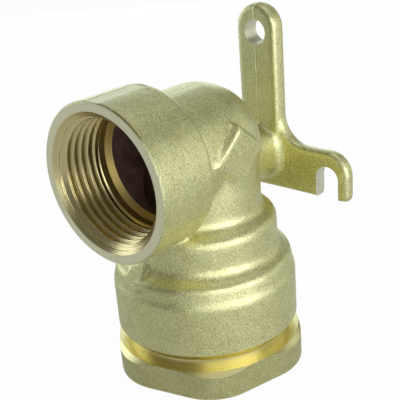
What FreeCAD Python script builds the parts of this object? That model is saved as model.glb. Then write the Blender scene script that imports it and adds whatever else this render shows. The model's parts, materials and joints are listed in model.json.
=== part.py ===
"""Wall plate elbow for plastic water pipe: forged body, screwed nut, and the rings inside it.

Millimetres. The pipe axis is +Z with z = 0 on the nut's lower face, the threaded socket faces -Y
and the back of the wall plate faces +Y. Threads are smooth cylinders: the socket at its major radius,
the nut's sleeve at its root radius.
"""
import FreeCAD, Part
import math
import os

import Sketcher

DRIVING_SIZES = {
    # threaded socket, G 1 thread
    "socket_height": 60.0,
    "socket_reach": 32.0,
    "socket_radius": 19.95,
    "socket_draft": 0.05,
    "socket_edge": 0.4,
    "collar_length": 17.0,
    "collar_edge": 0.8,
    "thread_radius": 16.62,
    "thread_depth": 1.48,
    "thread_end": 13.0,
    "socket_mouth": 0.78,
    "socket_mouth_depth": 0.8,
    "core_length": 2.0,
    "core_cone": 1.5,
    # bend
    "waterway_radius": 14.0,
    "branch_wall": 1.7,
    "dome_radius": 16.3,
    "dome_back": 1.1,
    "dome_drop": 0.6,
    "neck_wall": 2.4,
    "flash_trim": 0.25,
    "flash_trim_width": 5.0,
    "pad_stand": 0.35,
    "pad_tilt": 2.0,
    "pad_half_length": 9.0,
    "pad_half_height": 7.75,
    "pad_forward": 1.33,
    "pad_root_depth": 7.0,
    "pad_draft": 5.0,
    # tiers of the pipe socket, heights above the end of the body
    "lower_radius": 24.55,
    "end_chamfer": 1.65,
    "end_chamfer_height": 2.1,
    "lower_wall_top": 14.3,
    "step_width": 0.7,
    "step_top": 17.45,
    "shoulder_foot": 18.6,
    "shoulder_lean": 0.2,
    "shoulder_edge_share": 0.39,
    "upper_radius": 20.2,
    "upper_foot": 24.2,
    "upper_top": 29.2,
    "neck_foot": 34.6,
    # inside of the pipe socket
    "pipe_radius": 16.0,
    "pipe_clearance": 0.2,
    "pipe_stop": 23.8,
    "chamber_top": 16.1,
    "chamber_height": 4.3,
    "chamber_radius": 19.9,
    "nut_thread_clearance": 0.2,
    "nut_thread_mouth": 0.8,
    # wall plate, heights from the socket's axis
    "wall_distance": 32.0,
    "plate_thickness": 4.1,
    "arm_half_width": 6.45,
    "arm_swell": 0.9,
    "arm_swell_inset": 0.15,
    "hole_rise": 23.3,
    "hole_radius": 3.4,
    "tip_rise": 24.3,
    "side_arm_drop": 14.06,
    "side_arm_half_width": 6.69,
    "side_arm_reach": 27.8,
    "side_arm_corner": 6.5,
    "inner_corner": 8.0,
    "finger_corner": 1.2,
    "slot_centre": 21.4,
    "slot_radius": 3.5,
    "slot_drop": 14.9,
    "plate_front_edge": 1.2,
    "plate_back_edge": 1.8,
    "hub_half_width": 6.0,
    "hub_fillet": 2.6,
    "hub_crown_drop": 8.7,
    "hub_foot_drop": 11.7,
    # nut
    "nut_height": 7.8,
    "nut_half_flats": 24.7,
    "nut_corner_round": 14.4,
    "nut_turn": -15.2,
    "nut_bottom_edge": 0.7,
    "nut_face_radius": 24.9,
    "nut_cone_width": 4.0,
    "nut_cone_drop": 3.0,
    "nut_collar_radius": 22.45,
    "nut_collar_height": 2.4,
    "nut_thread_radius": 21.0,
    "nut_thread_depth": 1.0,
    "nut_thread_length": 9.0,
    "nut_thread_edge": 0.8,
    "entry_clearance": 0.4,
    "entry_chamfer": 0.8,
    "entry_depth": 3.2,
    "seat_ledge": 0.8,
    "seat_cone_width": 1.4,
    "seat_cone_height": 11.8,
    # clamp ring
    "ring_height": 13.6,
    "ring_clearance": 0.3,
    "ring_bore_clearance": 0.2,
    "tooth_depth": 0.6,
    "ring_gap": 4.0,
    # support ring and seal ring
    "support_height": 2.4,
    "support_clearance": 0.3,
    "support_bore_clearance": 0.5,
    "seal_section": 2.1,
    "seal_squeeze": 0.05,
}
TOOTH_COUNT = 5
HEX_SIDES = 6


class Size:
    """A size that carries both its number and the spreadsheet formula that drives it."""

    def __init__(self, number, formula=None):
        self.number = float(number)
        self.formula = formula or repr(float(number))

    def __add__(self, other):
        other = as_size(other)
        return Size(self.number + other.number, f"({self.formula} + {other.formula})")

    def __sub__(self, other):
        other = as_size(other)
        return Size(self.number - other.number, f"({self.formula} - {other.formula})")

    def __mul__(self, other):
        other = as_size(other)
        return Size(self.number * other.number, f"({self.formula} * {other.formula})")

    def __truediv__(self, other):
        other = as_size(other)
        return Size(self.number / other.number, f"({self.formula} / {other.formula})")

    def __neg__(self):
        return Size(-self.number, f"(-1 * {self.formula})")


def as_size(value):
    return value if isinstance(value, Size) else Size(value)


def make_sheet(doc):
    """Write the driving sizes to the sheet and return them by name."""
    sheet = doc.addObject("Spreadsheet::Sheet", "dims")
    for row, (name, number) in enumerate(DRIVING_SIZES.items(), start=1):
        sheet.set(f"A{row}", name)
        sheet.set(f"B{row}", str(number))
        sheet.setAlias(f"B{row}", name)
    doc.recompute()
    return {name: Size(sheet.get(name), f"dims.{name}") for name in DRIVING_SIZES}


def new_body(doc, label):
    body = doc.addObject("PartDesign::Body", label)
    body.Label = label
    return body


def new_sketch(body, name, role, across=None, above=None, off_plane=None):
    """Attach a sketch to one of the body's origin planes, moved by up to three sheet sizes."""
    sketch = body.newObject("Sketcher::SketchObject", name)
    plane = next(item for item in body.Origin.OriginFeatures if item.Role == role)
    sketch.AttachmentSupport = (plane, "")
    sketch.MapMode = "FlatFace"
    for axis, offset in (("x", across), ("y", above), ("z", off_plane)):
        if offset is not None:
            sketch.setExpression(f"AttachmentOffset.Base.{axis}", offset.formula)
    return sketch


def pin_point(sketch, edge, end, corner):
    """Tie one end of an edge to its place in the sketch's own axes."""
    for kind, axis_line, place in (("DistanceX", -2, corner[0]), ("DistanceY", -1, corner[1])):
        place = as_size(place)
        if place.formula == "0.0":
            sketch.addConstraint(Sketcher.Constraint("PointOnObject", edge, end, axis_line))
            continue
        index = sketch.addConstraint(Sketcher.Constraint(kind, -1, 1, edge, end, place.number))
        sketch.setExpression(f"Constraints[{index}]", place.formula)


def place_of(corner):
    return FreeCAD.Vector(as_size(corner[0]).number, as_size(corner[1]).number, 0)


def arc_between(start, end, radius, side):
    """Return the short arc between two points, with its centre on the left (+1) or right (-1) of the way."""
    chord = end - start
    left = FreeCAD.Vector(-chord.y, chord.x, 0).normalize()
    rise = math.sqrt(max(radius ** 2 - (chord.Length / 2) ** 2, 0.0))
    centre = (start + end) / 2 + left * rise * side
    first, last = (start, end) if side > 0 else (end, start)
    angles = [math.atan2(point.y - centre.y, point.x - centre.x) for point in (first, last)]
    circle = Part.Circle(centre, FreeCAD.Vector(0, 0, 1), radius)
    return Part.ArcOfCircle(circle, angles[0], angles[1])


def draw_outline(sketch, corners):
    """Draw a closed outline. A corner is (x, y), or (x, y, radius, side) where an arc arrives at it."""
    edges = []
    for index, corner in enumerate(corners):
        start, end = place_of(corners[index - 1]), place_of(corner)
        if len(corner) == 2:
            edge = sketch.addGeometry(Part.LineSegment(start, end), False)
            edges.append((edge, 1, 2))
            continue
        radius, side = as_size(corner[2]), corner[3]
        edge = sketch.addGeometry(arc_between(start, end, radius.number, side), False)
        edges.append((edge, 1, 2) if side > 0 else (edge, 2, 1))
    for index, (edge, first, last) in enumerate(edges):
        following = edges[(index + 1) % len(edges)]
        sketch.addConstraint(Sketcher.Constraint("Coincident", edge, last, following[0], following[1]))
    for (edge, first, last), corner in zip(edges, corners):
        pin_point(sketch, edge, last, corner)
        if len(corner) == 4:
            radius = as_size(corner[2])
            index = sketch.addConstraint(Sketcher.Constraint("Radius", edge, radius.number))
            sketch.setExpression(f"Constraints[{index}]", radius.formula)


def draw_circle(sketch, centre, radius):
    circle = Part.Circle(place_of(centre), FreeCAD.Vector(0, 0, 1), radius.number)
    edge = sketch.addGeometry(circle, False)
    pin_point(sketch, edge, 3, centre)
    index = sketch.addConstraint(Sketcher.Constraint("Radius", edge, radius.number))
    sketch.setExpression(f"Constraints[{index}]", radius.formula)


def revolve(body, kind, name, sketch, axis):
    """Turn a sketch once round its own axis, as a Revolution or a Groove."""
    feature = body.newObject(f"PartDesign::{kind}", name)
    feature.Profile = sketch
    feature.ReferenceAxis = (sketch, [axis])
    feature.Angle = 360
    return feature


def extrude(body, kind, name, sketch, length, both_ways=False, draft=None):
    """Pad or pocket a sketch along its normal, or half each way."""
    feature = body.newObject(f"PartDesign::{kind}", name)
    feature.Profile = sketch
    feature.setExpression("Length", length.formula)
    if both_ways:
        feature.SideType = "Symmetric"
    if draft is not None:
        feature.setExpression("TaperAngle", draft.formula)
    return feature


def fillet(doc, body, name, radius, chosen):
    """Round the edges of the body's last feature that the test picks."""
    doc.recompute()
    base = body.Tip
    names = [f"Edge{index}" for index, edge in enumerate(base.Shape.Edges, start=1) if chosen(edge)]
    feature = body.newObject("PartDesign::Fillet", name)
    feature.Base = (base, names)
    feature.setExpression("Radius", radius.formula)
    return feature


def lies_at(edge, axis, value):
    """Tell whether an edge lies in the plane where one coordinate has the given value."""
    box = edge.BoundBox
    low, high = (box.YMin, box.YMax) if axis == "y" else (box.ZMin, box.ZMax)
    return abs(low - value) < 1e-4 and abs(high - value) < 1e-4


def add_plate(doc, body, size):
    """The wall plate: one arm up with a round end, one arm to each side."""
    axis = size["socket_height"]
    half, reach = size["arm_half_width"], size["side_arm_reach"]
    low = axis - size["side_arm_drop"] - size["side_arm_half_width"]
    high = axis - size["side_arm_drop"] + size["side_arm_half_width"]
    tip = axis + size["tip_rise"]
    toe, corner, inner = size["finger_corner"], size["side_arm_corner"], size["inner_corner"]
    right_side = [
        (reach - toe, low), (reach, low + toe, toe, 1), (reach, high - corner),
        (reach - corner, high, corner, 1), (half + inner, high), (half, high + inner, inner, -1),
        (half, tip), (0, tip + half, half, 1),
    ]
    left_side = [
        (-half, tip, half, 1), (-half, high + inner), (-half - inner, high, inner, -1),
        (corner - reach, high), (-reach, high - corner, corner, 1), (-reach, low + toe),
        (toe - reach, low, toe, 1),
    ]
    outline = new_sketch(body, "plate_outline", "XZ_Plane", off_plane=-size["wall_distance"])
    draw_outline(outline, right_side + left_side)
    extrude(body, "Pad", "plate", outline, size["plate_thickness"])
    front = (size["wall_distance"] - size["plate_thickness"]).number
    fillet(doc, body, "plate_front_edges", size["plate_front_edge"], lambda edge: lies_at(edge, "y", front))
    back = size["wall_distance"].number
    fillet(doc, body, "plate_back_edges", size["plate_back_edge"], lambda edge: lies_at(edge, "y", back))


def thicken_arm(doc, body, size):
    """The upper arm stands a little in front of the side arms, from the hub to its round end."""
    half = size["arm_half_width"] - size["arm_swell_inset"]
    foot = size["socket_height"] - size["hub_crown_drop"]
    tip = size["socket_height"] + size["tip_rise"]
    middle = size["wall_distance"] - size["plate_thickness"] / 2
    outline = new_sketch(body, "arm_outline", "XZ_Plane", off_plane=-middle)
    draw_outline(outline, [
        (half, foot), (half, tip), (0, tip + half, half, 1), (-half, tip, half, 1), (-half, foot),
    ])
    extrude(body, "Pad", "arm", outline, size["plate_thickness"] / 2 + size["arm_swell"])
    front = (size["wall_distance"] - size["plate_thickness"] - size["arm_swell"]).number
    fillet(doc, body, "arm_front_edges", size["plate_front_edge"],
           lambda edge: lies_at(edge, "y", front) and not lies_at(edge, "z", foot.number))


def add_hub(body, size):
    """The solid hub between the bend and the plate: a rounded column, flared where it meets the plate."""
    face = size["wall_distance"] - size["plate_thickness"]
    inside = face + size["plate_thickness"] / 2
    half, flare = size["hub_half_width"], size["hub_fillet"]
    rim = half + flare
    low = size["socket_height"] - size["hub_foot_drop"]
    high = size["socket_height"] - size["hub_crown_drop"]
    plan = new_sketch(body, "hub_plan", "XY_Plane", off_plane=low)
    draw_outline(plan, [
        (half, 0), (half, face - flare), (rim, face, flare, -1), (rim, inside),
        (-rim, inside), (-rim, face), (-half, face - flare, flare, -1), (-half, 0),
    ])
    extrude(body, "Pad", "hub", plan, high - low)
    for name, height in (("hub_crown", high), ("hub_foot", low)):
        outline = new_sketch(body, f"{name}_outline", "YZ_Plane", above=height)
        draw_outline(outline, [
            (0, 0), (inside, 0), (inside, rim), (face, rim), (face - flare, half, flare, -1), (0, half),
        ])
        revolve(body, "Revolution", name, outline, "H_Axis")


def ogee(foot, top, edge_share):
    """Corners of the S-curve between two upright walls: a round edge, then a hollow."""
    width, height = foot[0] - top[0], top[1] - foot[1]
    reach = (width * width + height * height) / (width * 2)
    edge, hollow = reach * edge_share, reach - reach * edge_share
    return [
        (foot[0] - width * edge_share, foot[1] + height * edge_share, edge, 1),
        (top[0], top[1], hollow, -1),
    ]


def add_tiers(body, size):
    """The turned outline of the pipe socket and the neck, up to the middle of the bend's dome."""
    end = size["nut_height"] + size["nut_collar_height"]
    lower, upper = size["lower_radius"], size["upper_radius"]
    neck = size["waterway_radius"] + size["neck_wall"]
    neck_top = size["socket_height"] - size["dome_drop"]
    wall_top = (lower, end + size["lower_wall_top"])
    step_top = (lower - size["step_width"], end + size["step_top"])
    shoulder_foot = (step_top[0] - size["shoulder_lean"], end + size["shoulder_foot"])
    upper_foot, upper_top = (upper, end + size["upper_foot"]), (upper, end + size["upper_top"])
    neck_foot = (neck, end + size["neck_foot"])
    outline = new_sketch(body, "tier_outline", "XZ_Plane")
    draw_outline(outline, [
        (0, end), (lower - size["end_chamfer"], end), (lower, end + size["end_chamfer_height"]), wall_top,
        *ogee(wall_top, step_top, 0.5), shoulder_foot,
        *ogee(shoulder_foot, upper_foot, size["shoulder_edge_share"]), upper_top,
        *ogee(upper_top, neck_foot, 0.5), (neck, neck_top), (0, neck_top),
    ])
    revolve(body, "Revolution", "tiers", outline, "V_Axis")


def add_dome(body, size):
    """The round outside of the bend, a ball set a little behind and below the crossing of the two axes."""
    radius = size["dome_radius"]
    outline = new_sketch(body, "dome_outline", "YZ_Plane", across=size["dome_back"],
                         above=size["socket_height"] - size["dome_drop"])
    draw_outline(outline, [(radius, 0), (0, radius, radius, 1), (-radius, 0, radius, 1)])
    revolve(body, "Revolution", "dome", outline, "H_Axis")


def add_socket(body, size):
    """The horizontal branch of the bend and the collar of the threaded socket."""
    bend = size["waterway_radius"] + size["branch_wall"]
    face, radius, round_edge = -size["socket_reach"], size["socket_radius"], size["collar_edge"]
    back = face + size["collar_length"]
    back_radius = radius - size["socket_draft"]
    outline = new_sketch(body, "socket_outline", "YZ_Plane", above=size["socket_height"])
    draw_outline(outline, [
        (0, 0), (0, bend), (back + round_edge, bend), (back, bend + round_edge, round_edge, -1),
        (back, back_radius - round_edge), (back - round_edge, back_radius, round_edge, 1),
        (face + size["socket_edge"], radius), (face, radius - size["socket_edge"]), (face, 0),
    ])
    revolve(body, "Revolution", "socket", outline, "H_Axis")


def trim_flash(body, size):
    """The flat along the top of the bend, left where the flash between the dies was trimmed off."""
    height = size["waterway_radius"] + size["branch_wall"] - size["flash_trim"]
    half = size["flash_trim_width"]
    collar_back = size["collar_length"] - size["socket_reach"]
    outline = new_sketch(body, "flash_outline", "XY_Plane", off_plane=size["socket_height"] + height)
    draw_outline(outline, [
        (half, collar_back), (half, half), (-half, half), (-half, collar_back),
    ])
    cut = extrude(body, "Pocket", "flash_flat", outline, size["flash_trim"] * 2)
    cut.Reversed = True


def add_side_pads(body, size):
    """The pad on each side of the bend, stood on its corner, drafted, and leaning in towards its foot."""
    face = size["waterway_radius"] + size["neck_wall"] + size["pad_stand"]
    length, height = size["pad_half_length"], size["pad_half_height"]
    for name, sign in (("right_pad", 1), ("left_pad", -1)):
        outline = new_sketch(body, f"{name}_outline", "YZ_Plane", off_plane=face * sign,
                             across=-size["pad_forward"], above=size["socket_height"])
        outline.AttachmentOffset = FreeCAD.Placement(
            FreeCAD.Vector(), FreeCAD.Rotation(FreeCAD.Vector(1, 0, 0), 1))
        lean = size["pad_tilt"] * sign
        outline.setExpression("AttachmentOffset.Rotation.Angle", f"{lean.formula} * 1 deg")
        draw_outline(outline, [(length, 0), (0, height), (-length, 0), (0, -height)])
        pad = extrude(body, "Pad", name, outline, size["pad_root_depth"], draft=size["pad_draft"])
        pad.Reversed = sign > 0


def cut_pipe_socket(body, size):
    """The bore from below: nut thread, seal chamber, pipe seat, and the waterway up into the bend."""
    end = size["nut_height"] + size["nut_collar_height"]
    thread = size["nut_thread_radius"] + size["nut_thread_clearance"]
    mouth = size["nut_thread_mouth"]
    seat = size["pipe_radius"] + size["pipe_clearance"]
    chamber_top = end + size["chamber_top"]
    chamber_foot = chamber_top - size["chamber_height"]
    stop = end + size["pipe_stop"]
    water, axis = size["waterway_radius"], size["socket_height"]
    outline = new_sketch(body, "pipe_bore_outline", "XZ_Plane")
    draw_outline(outline, [
        (0, end), (thread + mouth, end), (thread, end + mouth), (thread, chamber_foot),
        (size["chamber_radius"], chamber_foot), (size["chamber_radius"], chamber_top), (seat, chamber_top),
        (seat, stop), (water, stop), (water, axis), (0, axis + water, water, 1),
    ])
    revolve(body, "Groove", "pipe_bore", outline, "V_Axis")


def cut_socket(body, size):
    """The threaded socket: mouth, thread at its major radius, drilled core and the way into the bend."""
    face, thread = -size["socket_reach"], size["thread_radius"]
    thread_end = face + size["thread_end"]
    core = thread - size["thread_depth"]
    core_end = thread_end + size["core_length"]
    water = size["waterway_radius"]
    outline = new_sketch(body, "socket_bore_outline", "YZ_Plane", above=size["socket_height"])
    draw_outline(outline, [
        (face, 0), (face, thread + size["socket_mouth"]), (face + size["socket_mouth_depth"], thread),
        (thread_end, thread), (thread_end, core), (core_end, core), (core_end + size["core_cone"], water),
        (0, water), (0, 0),
    ])
    revolve(body, "Groove", "socket_bore", outline, "H_Axis")


def cut_fixing_holes(body, size):
    """The round hole in the upper arm and the slots, open below, in the side arms."""
    back = -size["wall_distance"]
    hole = new_sketch(body, "hole_outline", "XZ_Plane", off_plane=back)
    draw_circle(hole, (0, size["socket_height"] + size["hole_rise"]), size["hole_radius"])
    cut = extrude(body, "Pocket", "fixing_hole", hole, size["plate_thickness"] + size["arm_swell"])
    cut.Reversed = True
    radius = size["slot_radius"]
    top = size["socket_height"] - size["slot_drop"]
    below = size["socket_height"] - size["side_arm_drop"] - size["side_arm_half_width"] * 2
    for name, centre in (("right_slot", size["slot_centre"]), ("left_slot", -size["slot_centre"])):
        slot = new_sketch(body, f"{name}_outline", "XZ_Plane", off_plane=back)
        draw_outline(slot, [
            (centre + radius, below), (centre + radius, top), (centre, top + radius, radius, 1),
            (centre - radius, top, radius, 1), (centre - radius, below),
        ])
        cut = extrude(body, "Pocket", name, slot, size["plate_thickness"])
        cut.Reversed = True


def make_body(doc, size):
    body = new_body(doc, "body")
    add_plate(doc, body, size)
    thicken_arm(doc, body, size)
    add_hub(body, size)
    add_tiers(body, size)
    add_dome(body, size)
    add_socket(body, size)
    trim_flash(body, size)
    add_side_pads(body, size)
    cut_pipe_socket(body, size)
    cut_socket(body, size)
    cut_fixing_holes(body, size)
    return body


def hexagon_corners(size):
    """Corners of the rounded hexagon: each flat, then the arc to the next flat."""
    half, corner_round = size["nut_half_flats"], size["nut_corner_round"]
    half_flat = (half - corner_round) * math.tan(math.pi / HEX_SIDES)
    corners = []
    for side in range(HEX_SIDES):
        turn = 2 * math.pi * side / HEX_SIDES
        along, across = (math.cos(turn), math.sin(turn)), (-math.sin(turn), math.cos(turn))
        start = tuple(half * along[axis] - half_flat * across[axis] for axis in (0, 1))
        end = tuple(half * along[axis] + half_flat * across[axis] for axis in (0, 1))
        corners += [(start[0], start[1], corner_round, 1), end]
    return corners


def make_nut(doc, size):
    """The nut: rounded hexagon, turned collar, threaded sleeve, and the cone seat inside."""
    body = new_body(doc, "nut")
    height = size["nut_height"]
    outline = new_sketch(body, "hexagon_outline", "XY_Plane")
    draw_outline(outline, hexagon_corners(size))
    extrude(body, "Pad", "hexagon", outline, height)
    fillet(doc, body, "hexagon_bottom_edge", size["nut_bottom_edge"], lambda edge: lies_at(edge, "z", 0))

    collar_top = height + size["nut_collar_height"]
    sleeve_top = collar_top + size["nut_thread_length"]
    collar = size["nut_collar_radius"]
    sleeve, edge = size["nut_thread_radius"] - size["nut_thread_depth"], size["nut_thread_edge"]
    turned = new_sketch(body, "collar_outline", "XZ_Plane")
    draw_outline(turned, [
        (0, height / 2), (collar, height / 2), (collar, collar_top), (sleeve, collar_top),
        (sleeve, sleeve_top - edge), (sleeve - edge, sleeve_top), (0, sleeve_top),
    ])
    revolve(body, "Revolution", "collar", turned, "V_Axis")

    face, reach = size["nut_face_radius"], size["nut_face_radius"] + size["nut_cone_width"]
    cone = new_sketch(body, "corner_cone_outline", "XZ_Plane")
    draw_outline(cone, [(face, height), (reach, height - size["nut_cone_drop"]), (reach, height)])
    revolve(body, "Groove", "corner_cone", cone, "V_Axis")

    entry = size["pipe_radius"] + size["entry_clearance"]
    seat, seat_foot = entry + size["seat_ledge"], size["entry_depth"]
    seat_top = seat + size["seat_cone_width"]
    cone_top = seat_foot + size["seat_cone_height"]
    bore = new_sketch(body, "nut_bore_outline", "XZ_Plane")
    draw_outline(bore, [
        (0, 0), (entry + size["entry_chamfer"], 0), (entry, size["entry_chamfer"]), (entry, seat_foot),
        (seat, seat_foot), (seat_top, cone_top), (seat_top, sleeve_top), (0, sleeve_top),
    ])
    revolve(body, "Groove", "nut_bore", bore, "V_Axis")
    body.Placement = FreeCAD.Placement(FreeCAD.Vector(), FreeCAD.Rotation(FreeCAD.Vector(0, 0, 1), 1))
    body.setExpression("Placement.Rotation.Angle", f"{size['nut_turn'].formula} * 1 deg")
    return body


def make_clamp_ring(doc, size):
    """The split ring: a cone outside, teeth inside that point up against the pipe being pulled out."""
    body = new_body(doc, "clamp_ring")
    foot = size["entry_depth"]
    top = foot + size["ring_height"]
    clearance = size["ring_clearance"]
    foot_radius = size["pipe_radius"] + size["entry_clearance"] + size["seat_ledge"] - clearance
    top_radius = foot_radius + size["seat_cone_width"]
    cone_top = foot + size["seat_cone_height"]
    tooth_tip = size["pipe_radius"] + size["ring_bore_clearance"]
    tooth_root = tooth_tip + size["tooth_depth"]
    pitch = size["ring_height"] / TOOTH_COUNT
    teeth = []
    for tooth in range(TOOTH_COUNT, 0, -1):
        teeth += [(tooth_tip, foot + pitch * tooth), (tooth_root, foot + pitch * tooth - pitch)]
    outline = new_sketch(body, "ring_outline", "XZ_Plane")
    draw_outline(outline, [(foot_radius, foot), (top_radius, cone_top), (top_radius, top)] + teeth)
    revolve(body, "Revolution", "ring", outline, "V_Axis")
    gap, reach = size["ring_gap"] / 2, top_radius + clearance
    split = new_sketch(body, "split_outline", "XY_Plane", off_plane=top)
    draw_outline(split, [(-gap, 0), (gap, 0), (gap, reach), (-gap, reach)])
    extrude(body, "Pocket", "split", split, size["ring_height"])
    return body


def make_support_ring(doc, size):
    """The plain ring that backs the seal, against the shoulder at the foot of the seal chamber."""
    body = new_body(doc, "support_ring")
    end = size["nut_height"] + size["nut_collar_height"]
    top = end + size["chamber_top"] - size["chamber_height"]
    foot = top - size["support_height"]
    outer = size["nut_thread_radius"] + size["nut_thread_clearance"] - size["support_clearance"]
    inner = size["pipe_radius"] + size["support_bore_clearance"]
    outline = new_sketch(body, "support_outline", "XZ_Plane")
    draw_outline(outline, [(inner, foot), (outer, foot), (outer, top), (inner, top)])
    revolve(body, "Revolution", "support", outline, "V_Axis")
    return body


def make_seal_ring(doc, size):
    """The O-ring in the seal chamber."""
    ring = doc.addObject("Part::Torus", "seal_ring")
    ring.Label = "seal_ring"
    section = size["seal_section"]
    centre = size["chamber_radius"] - size["seal_squeeze"] - section
    end = size["nut_height"] + size["nut_collar_height"]
    middle = end + size["chamber_top"] - size["chamber_height"] / 2
    ring.setExpression("Radius1", centre.formula)
    ring.setExpression("Radius2", section.formula)
    ring.setExpression("Placement.Base.z", middle.formula)
    return ring


def check(doc, pieces):
    """Stop if anything in the document failed or any piece is empty or broken."""
    for item in doc.Objects:
        if "Invalid" in item.State or "Error" in item.State:
            raise RuntimeError(f"{item.Name} failed: {item.State}")
    for piece in pieces:
        if piece.Shape.isNull() or not piece.Shape.isValid():
            raise RuntimeError(f"{piece.Label} has no valid shape")
        if len(piece.Shape.Solids) != 1:
            raise RuntimeError(f"{piece.Label} has {len(piece.Shape.Solids)} solids")


def main():
    doc = FreeCAD.newDocument("wall_plate_elbow")
    size = make_sheet(doc)
    makers = (make_body, make_nut, make_clamp_ring, make_support_ring, make_seal_ring)
    pieces = [make(doc, size) for make in makers]
    doc.recompute()
    check(doc, pieces)
    os.makedirs("parts", exist_ok=True)
    for piece in pieces:
        piece.Shape.exportStep(os.path.join("parts", f"{piece.Label}.step"))


main()
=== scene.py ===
"""Looks of the wall plate elbow: sand-blasted and turned brass, cut threads, light and camera."""

import json
import math

import bmesh
import bpy
from mathutils import Matrix, Vector
from mathutils.noise import noise as hash_noise


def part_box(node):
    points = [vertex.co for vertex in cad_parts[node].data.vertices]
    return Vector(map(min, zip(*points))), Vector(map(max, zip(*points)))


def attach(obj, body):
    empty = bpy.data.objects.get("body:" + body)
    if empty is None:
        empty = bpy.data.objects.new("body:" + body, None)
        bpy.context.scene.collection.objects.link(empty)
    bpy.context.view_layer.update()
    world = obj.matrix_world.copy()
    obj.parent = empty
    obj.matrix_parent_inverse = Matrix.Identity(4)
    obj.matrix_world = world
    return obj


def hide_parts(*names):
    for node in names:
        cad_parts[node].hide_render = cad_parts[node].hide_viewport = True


MM = 0.001

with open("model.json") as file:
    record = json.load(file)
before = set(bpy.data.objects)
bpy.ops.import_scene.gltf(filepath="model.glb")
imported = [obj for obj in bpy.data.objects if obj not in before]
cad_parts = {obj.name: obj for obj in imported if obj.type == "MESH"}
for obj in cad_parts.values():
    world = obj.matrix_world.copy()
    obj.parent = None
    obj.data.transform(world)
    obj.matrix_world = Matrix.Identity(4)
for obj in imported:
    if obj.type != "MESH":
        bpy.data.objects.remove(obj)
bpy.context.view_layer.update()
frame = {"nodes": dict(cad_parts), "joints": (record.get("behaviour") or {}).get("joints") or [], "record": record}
nodes = frame["nodes"]
mounts = {mount["name"]: mount for mount in frame["record"]["mounts"]}

# Places and sizes read from the frame
SLOTS = ("right_slot", "left_slot")
THREAD = mounts["outlet_thread"]
FIXING_HOLE = mounts["fixing_hole"]
SOCKET_HEIGHT = THREAD["pos_m"][2]
SOCKET_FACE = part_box("body")[0].y
THREAD_MAJOR = THREAD["dims"]["r_mm"] * MM
THREAD_END = THREAD["pos_m"][1] + THREAD["dims"]["length_mm"] * MM / 2
WALL_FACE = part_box("body")[1].y
FIXING_HEIGHT = FIXING_HOLE["pos_m"][2]
FIXING_RADIUS = FIXING_HOLE["dims"]["r_mm"] * MM
ARM_THICKNESS = FIXING_HOLE["dims"]["length_mm"] * MM
BODY_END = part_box("body")[0].z
NUT_TRAVEL = -min(joint["range_m"][0] for joint in frame["joints"] if joint["type"] == "slide")

# Socket and bend
SOCKET_RADIUS = 19.95 * MM
SOCKET_EDGE = 0.4 * MM
COLLAR_BACK = -16.2 * MM
MOUTH_RADIUS = 17.4 * MM
CORE_LENGTH = 2.0 * MM
CORE_CONE = 1.5 * MM
WATERWAY_RADIUS = 14.0 * MM

# Pipe socket, heights above the end of the body
LOWER_RADIUS = 24.55 * MM
END_CHAMFER_WIDTH = 1.65 * MM
END_CHAMFER_HEIGHT = 2.1 * MM
NUT_BORE_RADIUS = 21.2 * MM
NUT_BORE_MOUTH = 0.8 * MM
CHAMBER_RADIUS = 19.9 * MM
CHAMBER_FOOT = 11.8 * MM
CHAMBER_TOP = 16.1 * MM
PIPE_BORE_RADIUS = 16.2 * MM
PIPE_STOP = 23.8 * MM

# Wall plate
PLATE_THICKNESS = 4.1 * MM
SLOT_RADIUS = 3.5 * MM
SLOT_ABOVE_FOOT = 5.85 * MM
PLATE_FOOT = mounts["right_slot"]["pos_m"][2] - SLOT_ABOVE_FOOT

# Nut
NUT_HEIGHT = 7.8 * MM
NUT_COLLAR_RADIUS = 22.45 * MM

# Forging skin: voxel size, rounds of smoothing and the stretches over which they fade in
VOXEL = 0.44 * MM
PLATE_ROUNDS = 4
TIER_ROUNDS = 5
BEND_ROUNDS = 14
BEND_FRONT = (-17.5 * MM, -15.0 * MM)
BEND_BACK = (-26.0 * MM, -22.0 * MM)
BEND_FOOT = (36.0 * MM, 42.0 * MM)
SHARP_EDGE = math.radians(32)
SPARE = 4.0 * MM
ROUND_STEPS = 192
DOME_STEPS = 16

# Web of flash under the socket, left of the line where the dies met, corners in millimetres
WEB_CORNERS = ((-6.8, -20.9, 33.0), (-0.6, -19.6, 35.6), (-0.4, -23.1, 30.2), (-0.4, -24.4, 27.2),
               (-1.8, -24.6, 26.6), (-6.8, -22.6, 30.8), (1.2, -19.8, 33.4), (0.8, -21.8, 30.0),
               (-3.0, -17.5, 33.0), (-1.0, -20.0, 27.0))

# Soft run-out at the front corner of the right side pad, corners in millimetres
PAD_RUN_OUT = ((16.3, -9.6, 60.4), (15.25, -13.6, 63.6), (15.5, -15.0, 58.0), (15.0, -5.6, 64.7),
               (13.5, -5.0, 63.5), (13.5, -10.0, 57.0), (16.0, -9.0, 57.0))

# Line where the dies met, which fades out below the bend, and the flat of trimmed flash on the collar
PARTING_FOOT = (38.0 * MM, 43.0 * MM)
PARTING_HALF_WIDTH = 0.4 * MM
FLASH_HALF_WIDTH = 2.3 * MM
FLASH_DEPTH = 0.24 * MM

# Threads
PIPE_PITCH = 2.309 * MM
PIPE_LEAD = 0.5 * MM
PIPE_THREAD_DEPTH = 1.48 * MM
PIPE_RUN_OUT = 2.0 * MM
NUT_PITCH = 2.0 * MM
NUT_ROOT = 20.0 * MM
NUT_CREST = 20.95 * MM
NUT_THREAD_LENGTH = 8.2 * MM
CREST_SHARE = 0.16
ROWS_A_PITCH = 20
BACKING = 0.06 * MM
THREAD_SHARP_EDGE = math.radians(60)

# Burr on the rim of the socket's face, degrees from the top
BURR_START = 19
BURR_END = 49
BURR_STEPS = 80
BURR_SIDES = 6
BURR_SIZE = 0.22 * MM

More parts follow.
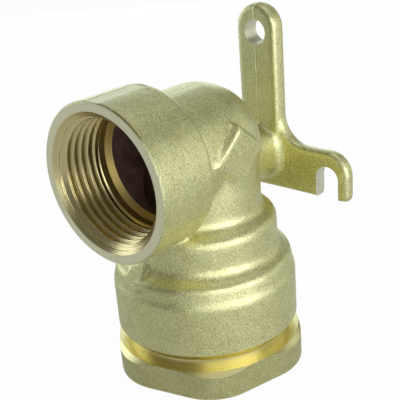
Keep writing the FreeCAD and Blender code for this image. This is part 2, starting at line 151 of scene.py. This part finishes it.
# Floor and backdrop: white share to the camera and in metal
FLOOR_SIDE = 3.0
FLOOR_GAP = 0.2 * MM
FLOOR_WHITE = (0.97, 0.14)
ROOM_WHITE = (1.0, 0.11)
ROOM_COLOUR = (0.06, 0.065, 0.07)

# Soft boxes: name, azimuth (0 = in front of the socket, 90 = right), elevation, size, watts, colour
LAMP_DISTANCE = 0.60
LAMPS = (
    ("near_right_box", 52, 13, (0.42, 0.38), 1.0, (0.92, 1.0, 1.12)),
    ("right_box", 90, 12, (0.42, 0.36), 1.65, (0.94, 1.0, 1.25)),
    ("far_right_box", 148, 14, (0.50, 0.40), 0.45, (0.92, 1.0, 1.0)),
    ("left_box", -74, 13, (0.42, 0.38), 0.80, (0.88, 1.0, 1.20)),
    ("far_left_box", -138, 13, (0.60, 0.38), 1.10, (0.88, 1.0, 1.20)),
    ("top_box", 150, 80, (0.50, 0.50), 0.75, (0.94, 1.0, 1.08)),
)

# Camera
CAMERA_TARGET = Vector((0.24, 0.23, 44.52)) * MM
CAMERA_DISTANCE = 218.67 * MM
CAMERA_AZIMUTH = 43.087
CAMERA_ELEVATION = 22.794
CAMERA_ROLL = -4.679
CAMERA_LENS = 75.0
SENSOR_WIDTH = 36.0


def new_material(name, base, roughness, metallic=1.0):
    """A procedural material and its principled shader."""
    material = bpy.data.materials.new(name)
    material.use_nodes = True
    shader = material.node_tree.nodes["Principled BSDF"]
    shader.inputs["Base Color"].default_value = (*base, 1)
    shader.inputs["Roughness"].default_value = roughness
    shader.inputs["Metallic"].default_value = metallic
    return material, shader


def add_node(tree, kind, links=(), **settings):
    """A node with its settings, its input values and the sockets that feed it."""
    node = tree.nodes.new(kind)
    for name, value in settings.items():
        setattr(node, name, value)
    for target, source in dict(links).items():
        if isinstance(source, bpy.types.NodeSocket):
            tree.links.new(source, node.inputs[target])
        else:
            node.inputs[target].default_value = source
    return node


def add_math(tree, operation, *values, clamp=False):
    """The result of a sum on sockets and numbers."""
    links = dict(enumerate(values))
    return add_node(tree, "ShaderNodeMath", links, operation=operation, use_clamp=clamp).outputs[0]


def noise(tree, vector, scale, detail, rough):
    """Noise of the given number of features a metre."""
    inputs = {"Vector": vector, "Scale": scale, "Detail": detail, "Roughness": rough}
    return add_node(tree, "ShaderNodeTexNoise", inputs).outputs["Fac"]


def spread(tree, value, low, high, start=0.3, end=0.7):
    """Maps a value, by default noise, onto a range."""
    inputs = {"Value": value, "From Min": start, "From Max": end, "To Min": low, "To Max": high}
    return add_node(tree, "ShaderNodeMapRange", inputs).outputs["Result"]


def tint(tree, value, dark, light, start=0.3, end=0.7):
    """A colour between two tones, chosen by a noise value."""
    ramp = add_node(tree, "ShaderNodeValToRGB", {"Fac": value})
    first, last = ramp.color_ramp.elements
    first.position, first.color = start, (*dark, 1)
    last.position, last.color = end, (*light, 1)
    return ramp.outputs["Color"]


def place_in_object(tree):
    return add_node(tree, "ShaderNodeTexCoord").outputs["Object"]


def bump(tree, height, distance, strength, below=None):
    """A normal that leans with a height, on top of the bumps below it."""
    inputs = {"Height": height, "Distance": distance, "Strength": strength}
    if below is not None:
        inputs["Normal"] = below
    return add_node(tree, "ShaderNodeBump", inputs).outputs["Normal"]


def parting_ridge(tree, place):
    """Height of the line where the dies met: 1 on the middle plane, and 0 beside it and below the bend."""
    parts = add_node(tree, "ShaderNodeSeparateXYZ", {"Vector": place}).outputs
    aside = add_math(tree, "ABSOLUTE", parts["X"])
    inputs = {"Value": aside, "From Min": 0.0, "From Max": PARTING_HALF_WIDTH, "To Min": 1.0, "To Max": 0.0}
    ridge = add_node(tree, "ShaderNodeMapRange", inputs, interpolation_type="SMOOTHSTEP").outputs["Result"]
    above = spread(tree, parts["Z"], 0.0, 1.0, *PARTING_FOOT)
    return add_math(tree, "MULTIPLY", ridge, above)


def forged_brass(name, dark, light, parting_line=False):
    """Sand-blasted forging skin: pale, matt and finely pitted."""
    material, shader = new_material(name, light, 0.5)
    tree = material.node_tree
    place = place_in_object(tree)
    mottle = noise(tree, place, 240, 5, 0.6)
    grain = noise(tree, place, 2700, 2, 0.6)
    speck = tint(tree, grain, (0.56, 0.55, 0.47), (1.0, 1.0, 1.0), 0.28, 0.66)
    colour = add_node(tree, "ShaderNodeMix", data_type="RGBA", blend_type="MULTIPLY")
    colour.inputs["Factor"].default_value = 1.0
    tree.links.new(tint(tree, mottle, dark, light), colour.inputs["A"])
    tree.links.new(speck, colour.inputs["B"])
    tree.links.new(colour.outputs["Result"], shader.inputs["Base Color"])
    tree.links.new(spread(tree, grain, 0.34, 0.48), shader.inputs["Roughness"])
    normal = bump(tree, grain, 0.12 * MM, 0.8)
    normal = bump(tree, noise(tree, place, 420, 2, 0.5), 0.25 * MM, 0.35, normal)
    if parting_line:
        normal = bump(tree, parting_ridge(tree, place), 0.12 * MM, 0.8, normal)
    tree.links.new(normal, shader.inputs["Normal"])
    return material


def turned_brass(name, axis, centre_height, base, roughness):
    """Bright brass with fine turning lines round an axis (Y through the socket, Z through the pipe)."""
    material, shader = new_material(name, base, roughness)
    tree = material.node_tree
    parts = add_node(tree, "ShaderNodeSeparateXYZ", {"Vector": place_in_object(tree)}).outputs
    across, along = ("Z", "Y") if axis == "Y" else ("Y", "Z")
    height = add_math(tree, "SUBTRACT", parts[across], centre_height)
    flat = add_node(tree, "ShaderNodeCombineXYZ", {"X": parts["X"], "Y": height}).outputs["Vector"]
    radius = add_node(tree, "ShaderNodeVectorMath", {0: flat}, operation="LENGTH").outputs["Value"]
    lathe = add_node(tree, "ShaderNodeCombineXYZ", {"X": radius, "Y": parts[along]}).outputs["Vector"]
    lines = noise(tree, lathe, 5200, 2, 0.6)
    tone = noise(tree, lathe, 900, 2, 0.5)
    dark = tuple(0.88 * channel for channel in base)
    tree.links.new(tint(tree, tone, dark, base), shader.inputs["Base Color"])
    tree.links.new(spread(tree, lines, roughness - 0.06, roughness + 0.08), shader.inputs["Roughness"])
    tree.links.new(bump(tree, lines, 0.02 * MM, 0.35), shader.inputs["Normal"])
    return material


def shaded_waterway(name):
    """Dark brown bored waterway: its darkness is painted shade of the deep bore."""
    material, shader = new_material(name, (0.25, 0.14, 0.10), 0.5, 0.3)
    tree = material.node_tree
    stain = noise(tree, place_in_object(tree), 330, 4, 0.6)
    # The dark browns, with a random mottle, are painted shade in the deep bore.
    tree.links.new(tint(tree, stain, (0.17, 0.09, 0.07), (0.32, 0.18, 0.13)), shader.inputs["Base Color"])
    return material


def acetal(name):
    """Natural moulded plastic of the rings."""
    material, shader = new_material(name, (0.80, 0.79, 0.72), 0.4, 0.0)
    tree = material.node_tree
    cloud = noise(tree, place_in_object(tree), 300, 3, 0.5)
    tree.links.new(tint(tree, cloud, (0.76, 0.75, 0.67), (0.84, 0.83, 0.77)), shader.inputs["Base Color"])
    return material


def rubber(name):
    """Moulded black seal."""
    material, shader = new_material(name, (0.018, 0.018, 0.018), 0.55, 0.0)
    tree = material.node_tree
    cloud = noise(tree, place_in_object(tree), 700, 3, 0.5)
    tree.links.new(spread(tree, cloud, 0.45, 0.65), shader.inputs["Roughness"])
    return material


def paint(node_name, materials, choose):
    """Gives each face of a solid the finish that choose() names for its centre and normal."""
    mesh = nodes[node_name].data
    mesh.materials.clear()
    for material in materials.values():
        mesh.materials.append(material)
    order = list(materials)
    for face in mesh.polygons:
        face.material_index = order.index(choose(face.center, face.normal))


def finish_of_nut(centre, normal):
    """The nut's sides keep their forged skin, and the rest is turned."""
    outward = normal.x * centre.x + normal.y * centre.y > 0
    outside = math.hypot(centre.x, centre.y) > NUT_COLLAR_RADIUS
    return "forged" if abs(normal.z) < 0.3 and outward and outside and centre.z < NUT_HEIGHT else "turned"


def new_piece(name, mesh):
    piece = bpy.data.objects.new(name, mesh)
    bpy.context.scene.collection.objects.link(piece)
    return piece


def to_mesh(shape, name, materials=()):
    """A mesh of a shape, with faces turned outward and its materials. The shape itself goes."""
    bmesh.ops.recalc_face_normals(shape, faces=shape.faces)
    mesh = bpy.data.meshes.new(name)
    shape.to_mesh(mesh)
    shape.free()
    for material in materials:
        mesh.materials.append(material)
    return mesh


def settle(piece):
    """The mesh that a piece's modifiers make of it. The piece itself goes."""
    bpy.context.view_layer.update()
    graph = bpy.context.evaluated_depsgraph_get()
    mesh = bpy.data.meshes.new_from_object(piece.evaluated_get(graph), preserve_all_data_layers=True,
                                           depsgraph=graph)
    bpy.data.objects.remove(piece)
    return mesh


def add_rod(shape, start, end, radius):
    """Adds a closed rod between two points."""
    start, end = Vector(start), Vector(end)
    turn = (end - start).to_track_quat("Z", "Y").to_matrix().to_4x4()
    place = Matrix.Translation((start + end) / 2) @ turn
    bmesh.ops.create_cone(shape, cap_ends=True, segments=ROUND_STEPS, radius1=radius, radius2=radius,
                          depth=(end - start).length, matrix=place)


def add_block(shape, low, high):
    """Adds a box between two corners."""
    low, high = Vector(low), Vector(high)
    place = Matrix.Translation((low + high) / 2) @ Matrix.Diagonal((*(high - low), 1))
    bmesh.ops.create_cube(shape, size=1.0, matrix=place)


def add_hull(shape, corners, side=1):
    """Adds the hull of some corners in millimetres. side is -1 for its mirror image on the left."""
    points = [shape.verts.new(Vector((side * x, y, z)) * MM) for x, y, z in corners]
    bmesh.ops.convex_hull(shape, input=points)


def keep_largest(mesh):
    """Drops all but the largest connected shell of a mesh."""
    shape = bmesh.new()
    shape.from_mesh(mesh)
    left, shells = set(shape.verts), []
    while left:
        shell, front = set(), [left.pop()]
        while front:
            vertex = front.pop()
            shell.add(vertex)
            near = {edge.other_vert(vertex) for edge in vertex.link_edges} & left
            left -= near
            front += near
        shells.append(shell)
    shells.sort(key=len)
    for shell in shells[:-1]:
        bmesh.ops.delete(shape, geom=list(shell), context="VERTS")
    shape.to_mesh(mesh)
    shape.free()


def fill_plate(shape):
    """Fills the hole and the slots of the wall plate."""
    plate_front = WALL_FACE - PLATE_THICKNESS
    radius = SLOT_RADIUS + VOXEL / 4
    add_rod(shape, (0, WALL_FACE - ARM_THICKNESS, FIXING_HEIGHT), (0, WALL_FACE, FIXING_HEIGHT), radius)
    for name in SLOTS:
        x, _, z = mounts[name]["pos_m"]
        add_block(shape, (x - radius, plate_front, PLATE_FOOT), (x + radius, WALL_FACE, z))
        add_rod(shape, (x, plate_front, z), (x, WALL_FACE, z), radius)


def make_blank():
    """The forging before it was cut: the body with its bores, hole and slots filled and its edges soft."""
    shape = bmesh.new()
    shape.from_mesh(nodes["body"].data)
    add_rod(shape, (0, SOCKET_FACE - SPARE, SOCKET_HEIGHT), (0, SOCKET_FACE + SPARE / 4, SOCKET_HEIGHT),
            SOCKET_RADIUS)
    add_rod(shape, (0, 0, BODY_END - SPARE), (0, 0, BODY_END + SPARE), LOWER_RADIUS)
    fill_plate(shape)
    add_hull(shape, WEB_CORNERS)
    for side in (1, -1):
        add_hull(shape, PAD_RUN_OUT, side)
    mesh = bpy.data.meshes.new("blank")
    shape.to_mesh(mesh)
    shape.free()
    blank = new_piece("blank", mesh)
    voxels = blank.modifiers.new("voxels", "REMESH")
    voxels.mode = "VOXEL"
    voxels.voxel_size = VOXEL
    mesh = settle(blank)
    keep_largest(mesh)
    return soften(mesh)


def rise(value, start, end):
    """Rises from 0 to 1 between two values."""
    return min(1.0, max(0.0, (value - start) / (end - start)))


def soften(mesh):
    """Smooths a mesh a little on the plate, more on the tiers and most round the bend."""
    piece = new_piece("skin", mesh)
    tiers, bend = (piece.vertex_groups.new(name=name) for name in ("tiers", "bend"))
    for vertex in mesh.vertices:
        _, y, z = vertex.co
        off_plate = rise(-y, *BEND_BACK)
        tiers.add([vertex.index], off_plate, "REPLACE")
        bend.add([vertex.index], off_plate * rise(y, *BEND_FRONT) * rise(z, *BEND_FOOT), "REPLACE")
    for rounds, group in ((PLATE_ROUNDS, ""), (TIER_ROUNDS, "tiers"), (BEND_ROUNDS, "bend")):
        modifier = piece.modifiers.new("soften", "SMOOTH")
        modifier.factor = 0.5
        modifier.iterations = rounds
        modifier.vertex_group = group
    return settle(piece)


def turned_solid(name, axis, outline):
    """A solid turned about the pipe (Z) or socket (Y) axis. outline holds (radius, along, material)."""
    shape = bmesh.new()
    materials = list(dict.fromkeys(material for _, _, material in outline[:-1]))
    rings = []
    for radius, along, _ in outline:
        ring = []
        for step in range(ROUND_STEPS if radius > 0 else 1):
            angle = 2 * math.pi * step / ROUND_STEPS
            u, v = radius * math.cos(angle), radius * math.sin(angle)
            ring.append(shape.verts.new((u, v, along) if axis == "Z" else (u, along, SOCKET_HEIGHT + v)))
        rings.append(ring)
    for first, second, (_, _, material) in zip(rings, rings[1:], outline):
        for step in range(ROUND_STEPS):
            after = (step + 1) % ROUND_STEPS
            corners = [first[step % len(first)], first[after % len(first)],
                       second[after % len(second)], second[step % len(second)]]
            face = shape.faces.new(list(dict.fromkeys(corners)))
            face.material_index = materials.index(material)
    return new_piece(name, to_mesh(shape, name, materials))


def dome(radius, centre, material):
    """Corners of a quarter circle that closes a turned outline at its axis."""
    angles = [math.pi / 2 * step / DOME_STEPS for step in range(1, DOME_STEPS)]
    corners = [(radius * math.cos(angle), centre + radius * math.sin(angle), material) for angle in angles]
    return corners + [(0, centre + radius, material)]


def socket_cutter(finish):
    """What turning takes from the socket: its face and rim, the bore and the way into the bend."""
    face, trimmed, socket, bored, deep_shade = (
        finish[key] for key in ("face", "trimmed", "socket", "bored", "waterway"))
    front = SOCKET_FACE - 2 * SPARE
    wide = SOCKET_RADIUS + SPARE
    rim = SOCKET_RADIUS - SOCKET_EDGE
    core = THREAD_MAJOR - PIPE_THREAD_DEPTH
    core_end = THREAD_END + CORE_LENGTH
    return turned_solid("socket_cut", "Y", [
        (0, front, face), (wide, front, face), (wide, SOCKET_FACE + wide - rim, trimmed),
        (rim, SOCKET_FACE, face), (MOUTH_RADIUS, SOCKET_FACE, socket),
        (THREAD_MAJOR, SOCKET_FACE + MOUTH_RADIUS - THREAD_MAJOR, socket), (THREAD_MAJOR, THREAD_END, socket),
        (core, THREAD_END, bored), (core, core_end, bored),
        (WATERWAY_RADIUS, core_end + CORE_CONE, deep_shade), (WATERWAY_RADIUS, 0, deep_shade), (0, 0, deep_shade)])


def pipe_cutter(finish):
    """What turning takes from below: the chamfered end, the nut's bore, the chamber and the pipe's seat."""
    turned, deep_shade = finish["turned"], finish["waterway"]
    foot = BODY_END - 2 * SPARE
    wide = LOWER_RADIUS + END_CHAMFER_WIDTH
    outline = [
        (0, foot, turned), (wide, foot, turned), (wide, BODY_END + 2 * END_CHAMFER_HEIGHT, turned),
        (LOWER_RADIUS - END_CHAMFER_WIDTH, BODY_END, turned),
        (NUT_BORE_RADIUS + NUT_BORE_MOUTH, BODY_END, turned),
        (NUT_BORE_RADIUS, BODY_END + NUT_BORE_MOUTH, turned),
        (NUT_BORE_RADIUS, BODY_END + CHAMBER_FOOT, turned),
        (CHAMBER_RADIUS, BODY_END + CHAMBER_FOOT, turned), (CHAMBER_RADIUS, BODY_END + CHAMBER_TOP, turned),
        (PIPE_BORE_RADIUS, BODY_END + CHAMBER_TOP, turned), (PIPE_BORE_RADIUS, BODY_END + PIPE_STOP, deep_shade),
        (WATERWAY_RADIUS, BODY_END + PIPE_STOP, deep_shade), (WATERWAY_RADIUS, SOCKET_HEIGHT, deep_shade)]
    return turned_solid("pipe_cut", "Z", outline + dome(WATERWAY_RADIUS, SOCKET_HEIGHT, deep_shade))


def flash_cutter(finish):
    """What trimming takes from the top of the collar."""
    flat = SOCKET_HEIGHT + SOCKET_RADIUS - FLASH_DEPTH
    shape = bmesh.new()
    add_block(shape, (-FLASH_HALF_WIDTH, SOCKET_FACE - SPARE, flat),
              (FLASH_HALF_WIDTH, COLLAR_BACK, SOCKET_HEIGHT + SOCKET_RADIUS + SPARE))
    return new_piece("flash_cut", to_mesh(shape, "flash_cut", [finish["trimmed"]]))


def hole_cutter(name, x, z, radius, is_open, material):
    """What punching takes from the wall plate: a round hole, or a slot that is open below."""
    half_turn = ROUND_STEPS // 2
    turns = range(half_turn + 1) if is_open else range(ROUND_STEPS)
    angles = [math.pi * turn / half_turn for turn in turns]
    outline = [(x + radius * math.cos(angle), z + radius * math.sin(angle)) for angle in angles]
    if is_open:
        outline += [(x - radius, PLATE_FOOT - SPARE), (x + radius, PLATE_FOOT - SPARE)]
    shape = bmesh.new()
    near = [shape.verts.new((u, WALL_FACE - 2 * PLATE_THICKNESS, v)) for u, v in outline]
    far = [shape.verts.new((u, WALL_FACE + PLATE_THICKNESS, v)) for u, v in outline]
    shape.faces.new(near)
    shape.faces.new(far)
    for step in range(len(outline)):
        after = (step + 1) % len(outline)
        shape.faces.new((near[step], near[after], far[after], far[step]))
    return new_piece(name, to_mesh(shape, name, [material]))


def make_cutters(finish):
    """The solids that machining takes from the forging."""
    punched = finish["punched"]
    cutters = [socket_cutter(finish), pipe_cutter(finish), flash_cutter(finish),
               hole_cutter("fixing_cut", 0, FIXING_HEIGHT, FIXING_RADIUS, False, punched)]
    for name in SLOTS:
        x, _, z = mounts[name]["pos_m"]
        cutters.append(hole_cutter(f"{name}_cut", x, z, SLOT_RADIUS, True, punched))
    return cutters


def make_forging(finish):
    """The body's visible metal: the softened forging with its machined cuts."""
    mesh = make_blank()
    mesh.materials.append(finish["forged"])
    blank = new_piece("forging_blank", mesh)
    cutters = make_cutters(finish)
    tools = bpy.data.collections.new("tools")
    bpy.context.scene.collection.children.link(tools)
    for cutter in cutters:
        bpy.context.scene.collection.objects.unlink(cutter)
        tools.objects.link(cutter)
    cut = blank.modifiers.new("cut", "BOOLEAN")
    cut.operation = "DIFFERENCE"
    cut.operand_type = "COLLECTION"
    cut.collection = tools
    cut.solver = "MANIFOLD"
    cut.material_mode = "TRANSFER"
    mesh = settle(blank)
    for cutter in cutters:
        bpy.data.objects.remove(cutter)
    bpy.data.collections.remove(tools)
    mesh.shade_smooth()
    mesh.set_sharp_from_angle(angle=SHARP_EDGE)
    forging = new_piece("forging", mesh)
    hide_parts("body")
    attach(forging, "elbow")


def ridge_wave(phase):
    """Rises from 0 to 1 and falls again in one pitch: straight flanks with small rounds at top and bottom."""
    slope = 1 / (1 - CREST_SHARE)
    rise_share = 1 - abs(2 * (phase % 1.0) - 1)
    end_share = min(rise_share, 1 - rise_share)
    if end_share < CREST_SHARE:
        height = slope * end_share ** 2 / (2 * CREST_SHARE)
    else:
        height = slope * (end_share - CREST_SHARE / 2)
    return height if rise_share < 0.5 else 1 - height


def make_thread(name, axis, start, end, pitch, lead, radius_at, backing, material, body):
    """A threaded sleeve on one right-hand helix. radius_at gives the radius for a place and a wave."""
    rows = round(ROWS_A_PITCH * (end - start) / pitch)
    rings = []
    for row in range(rows + 1):
        place = start + (end - start) * row / rows
        ring = []
        for column in range(ROUND_STEPS):
            turn = column / ROUND_STEPS
            phase = (place + lead) / pitch + (turn if axis == "Y" else -turn)
            ring.append((radius_at(place, ridge_wave(phase)), place))
        rings.append(ring)
    rings += [[(backing, place)] * ROUND_STEPS for place in (end, start)]
    shape = bmesh.new()
    corners = []
    for ring in rings:
        corners.append([])
        for column, (radius, place) in enumerate(ring):
            angle = 2 * math.pi * column / ROUND_STEPS
            u, v = radius * math.cos(angle), radius * math.sin(angle)
            point = (u, v, place) if axis == "Z" else (u, place, SOCKET_HEIGHT + v)
            corners[-1].append(shape.verts.new(point))
    for first, second in zip(corners, corners[1:] + corners[:1]):
        for column in range(ROUND_STEPS):
            beside = (column + 1) % ROUND_STEPS
            shape.faces.new((first[column], first[beside], second[beside], second[column]))
    mesh = to_mesh(shape, name, [material])
    mesh.shade_smooth()
    mesh.set_sharp_from_angle(angle=THREAD_SHARP_EDGE)
    piece = new_piece(name, mesh)
    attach(piece, body)


def make_socket_thread(material):
    """The pipe thread in the socket, from the mouth's chamfer to its run-out at the core."""
    minor = THREAD_MAJOR - PIPE_THREAD_DEPTH
    start = SOCKET_FACE + MOUTH_RADIUS - THREAD_MAJOR

    def radius_at(place, wave):
        fade = min(1.0, (THREAD_END - place) / PIPE_RUN_OUT)
        chamfer = MOUTH_RADIUS - (place - SOCKET_FACE)
        return min(max(minor + PIPE_THREAD_DEPTH * wave * fade, chamfer), THREAD_MAJOR)

    make_thread("socket_thread", "Y", start, THREAD_END + BACKING, PIPE_PITCH, PIPE_LEAD, radius_at,
                THREAD_MAJOR + BACKING, material, "elbow")


def make_nut_thread(material):
    """The thread on the nut's sleeve, which fades at both ends."""
    start, end = BODY_END, BODY_END + NUT_THREAD_LENGTH

    def radius_at(place, wave):
        fade = min(1.0, max(0.0, min(place - start, end - place) / (NUT_PITCH / 2)))
        return NUT_ROOT + (BACKING + (NUT_CREST - NUT_ROOT - BACKING) * wave) * fade

    make_thread("nut_thread", "Z", start, end, NUT_PITCH, 0.0, radius_at,
                NUT_ROOT - BACKING, material, "nut")


def make_burr(material):
    """The ragged burr that the cutter left on the rim of the socket's face."""
    rim_centre = Vector((0, SOCKET_FACE + SOCKET_EDGE / 2, SOCKET_HEIGHT))
    shape = bmesh.new()
    rings = []
    for step in range(BURR_STEPS + 1):
        turn = math.radians(BURR_START + (BURR_END - BURR_START) * step / BURR_STEPS)
        outward = Vector((math.sin(turn), 0, math.cos(turn)))
        ragged = 0.5 + 0.5 * hash_noise(outward * 90)
        ends = min(1.0, 6 * step / BURR_STEPS, 6 - 6 * step / BURR_STEPS)
        thick = BURR_SIZE * (0.25 + ragged) * ends + BURR_SIZE / 20
        centre = rim_centre + outward * (SOCKET_RADIUS - SOCKET_EDGE / 2)
        ring = []
        for side in range(BURR_SIDES):
            angle = 2 * math.pi * side / BURR_SIDES
            forward = Vector((0, thick * 0.8 * math.sin(angle), 0))
            ring.append(shape.verts.new(centre + outward * thick * math.cos(angle) + forward))
        rings.append(ring)
    for first, second in zip(rings, rings[1:]):
        for side in range(BURR_SIDES):
            after = (side + 1) % BURR_SIDES
            shape.faces.new((first[side], first[after], second[after], second[side]))
    shape.faces.new(rings[0])
    shape.faces.new(rings[-1])
    piece = new_piece("rim_burr", to_mesh(shape, "rim_burr", [material]))
    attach(piece, "elbow")


def white_share(tree, seen, mirrored):
    """How white a backdrop is to the camera and through glass, and how white in metal."""
    ray = add_node(tree, "ShaderNodeLightPath").outputs
    share = 0.0
    for kind, part in (("Is Camera Ray", seen), ("Is Transmission Ray", seen), ("Is Glossy Ray", mirrored)):
        share = add_math(tree, "MULTIPLY_ADD", ray[kind], part, share, clamp=True)
    return share


def add_floor():
    """Pale floor just under the lowest reach of the unscrewed nut. It looks white and keeps a soft shadow."""
    side = FLOOR_SIDE
    level = -NUT_TRAVEL - FLOOR_GAP
    mesh = bpy.data.meshes.new("floor")
    corners = [(-side, -side, level), (side, -side, level), (side, side, level), (-side, side, level)]
    mesh.from_pydata(corners, [], [(0, 1, 2, 3)])
    floor = new_piece("floor", mesh)
    material, shader = new_material("floor_white", (0.85, 0.85, 0.84), 0.8, 0.0)
    tree = material.node_tree
    share = white_share(tree, *FLOOR_WHITE)
    white = add_node(tree, "ShaderNodeEmission", {"Strength": 1.0})
    both = add_node(tree, "ShaderNodeMixShader", {0: share, 1: shader.outputs[0], 2: white.outputs[0]})
    tree.links.new(both.outputs[0], tree.nodes["Material Output"].inputs["Surface"])
    mesh.materials.append(material)


def add_light():
    """A ring of low soft boxes that is open in front, a weak one above, and a dim room that looks white."""
    world = bpy.data.worlds.new("room")
    bpy.context.scene.world = world
    world.use_nodes = True
    tree = world.node_tree
    share = white_share(tree, *ROOM_WHITE)
    colour = add_node(tree, "ShaderNodeMix", {"Factor": share}, data_type="RGBA")
    colour.inputs["A"].default_value = (*ROOM_COLOUR, 1)
    colour.inputs["B"].default_value = (1, 1, 1, 1)
    tree.links.new(colour.outputs["Result"], tree.nodes["Background"].inputs["Color"])
    for lamp in LAMPS:
        add_lamp(*lamp)


def direction(azimuth, elevation):
    """The way from the object to a place round it, by its angles in degrees."""
    azimuth, elevation = math.radians(azimuth), math.radians(elevation)
    level = math.cos(elevation)
    return Vector((math.sin(azimuth) * level, -math.cos(azimuth) * level, math.sin(elevation)))


def add_lamp(name, azimuth, elevation, size, watts, colour):
    """A soft box that is aimed at the object and not seen by the camera."""
    outward = direction(azimuth, elevation)
    lamp = bpy.data.lights.new(name, "AREA")
    lamp.shape = "RECTANGLE"
    lamp.size, lamp.size_y = size
    lamp.energy = watts
    lamp.color = colour
    holder = bpy.data.objects.new(name, lamp)
    bpy.context.scene.collection.objects.link(holder)
    holder.visible_camera = False
    holder.location = CAMERA_TARGET + outward * LAMP_DISTANCE
    holder.rotation_euler = (-outward).to_track_quat("-Z", "Y").to_euler()


def add_camera():
    """The photograph's camera: a direction, a distance and a slight roll."""
    forward = -direction(CAMERA_AZIMUTH, CAMERA_ELEVATION)
    azimuth, roll = math.radians(CAMERA_AZIMUTH), math.radians(CAMERA_ROLL)
    sideways = Vector((math.cos(azimuth), math.sin(azimuth), 0))
    upward = sideways.cross(forward)
    right = sideways * math.cos(roll) + upward * math.sin(roll)
    up = upward * math.cos(roll) - sideways * math.sin(roll)
    data = bpy.data.cameras.new("camera")
    data.lens = CAMERA_LENS
    data.sensor_width = SENSOR_WIDTH
    data.clip_start = 0.01
    camera = bpy.data.objects.new("camera", data)
    bpy.context.scene.collection.objects.link(camera)
    axes = Matrix((right, up, -forward)).transposed().to_4x4()
    axes.translation = CAMERA_TARGET - forward * CAMERA_DISTANCE
    camera.matrix_world = axes
    bpy.context.scene.camera = camera


def main():
    bpy.context.scene.view_settings.view_transform = "Standard"
    # The socket's turned brass is darker and warmer than the end's: painted shade and painted warm bounce light
    # inside the socket.
    socket_brass_shaded = turned_brass("turned_socket", "Y", SOCKET_HEIGHT, (0.74, 0.62, 0.29), 0.27)
    end_brass = turned_brass("turned_end", "Z", 0.0, (0.90, 0.80, 0.36), 0.30)
    # The nut's skin is a darker copy of the body's: painted shade, for the nut low down by the floor.
    nut_skin_shaded = forged_brass("forged_nut", (0.64, 0.60, 0.27), (0.74, 0.70, 0.345))
    plastic = acetal("acetal")
    make_forging({
        "forged": forged_brass("forged_body", (0.79, 0.748, 0.352), (0.89, 0.85, 0.43), parting_line=True),
        "trimmed": forged_brass("trimmed_flash", (0.79, 0.76, 0.38), (0.87, 0.84, 0.45)),
        "face": turned_brass("turned_face", "Y", SOCKET_HEIGHT, (0.95, 0.89, 0.57), 0.42),
        # Darker, deeper gold than the other turned brass: painted shade deep in the socket's core.
        "bored": turned_brass("bored", "Y", SOCKET_HEIGHT, (0.66, 0.48, 0.16), 0.5),
        "punched": turned_brass("punched", "Y", 0.0, (0.88, 0.84, 0.60), 0.4),
        "waterway": shaded_waterway("waterway"),
        "socket": socket_brass_shaded,
        "turned": end_brass,
    })
    paint("nut", {"forged": nut_skin_shaded, "turned": end_brass}, finish_of_nut)
    for ring in ("clamp_ring", "support_ring"):
        paint(ring, {"plastic": plastic}, lambda centre, normal: "plastic")
    paint("seal_ring", {"rubber": rubber("rubber")}, lambda centre, normal: "rubber")
    make_socket_thread(socket_brass_shaded)
    make_nut_thread(end_brass)
    # The burr's shape is real; its dark brown is painted shade over the rim's edge, where the lamps would catch
    # it.
    make_burr(turned_brass("burr", "Y", SOCKET_HEIGHT, (0.34, 0.21, 0.07), 0.4))
    add_floor()
    add_light()
    add_camera()


main()
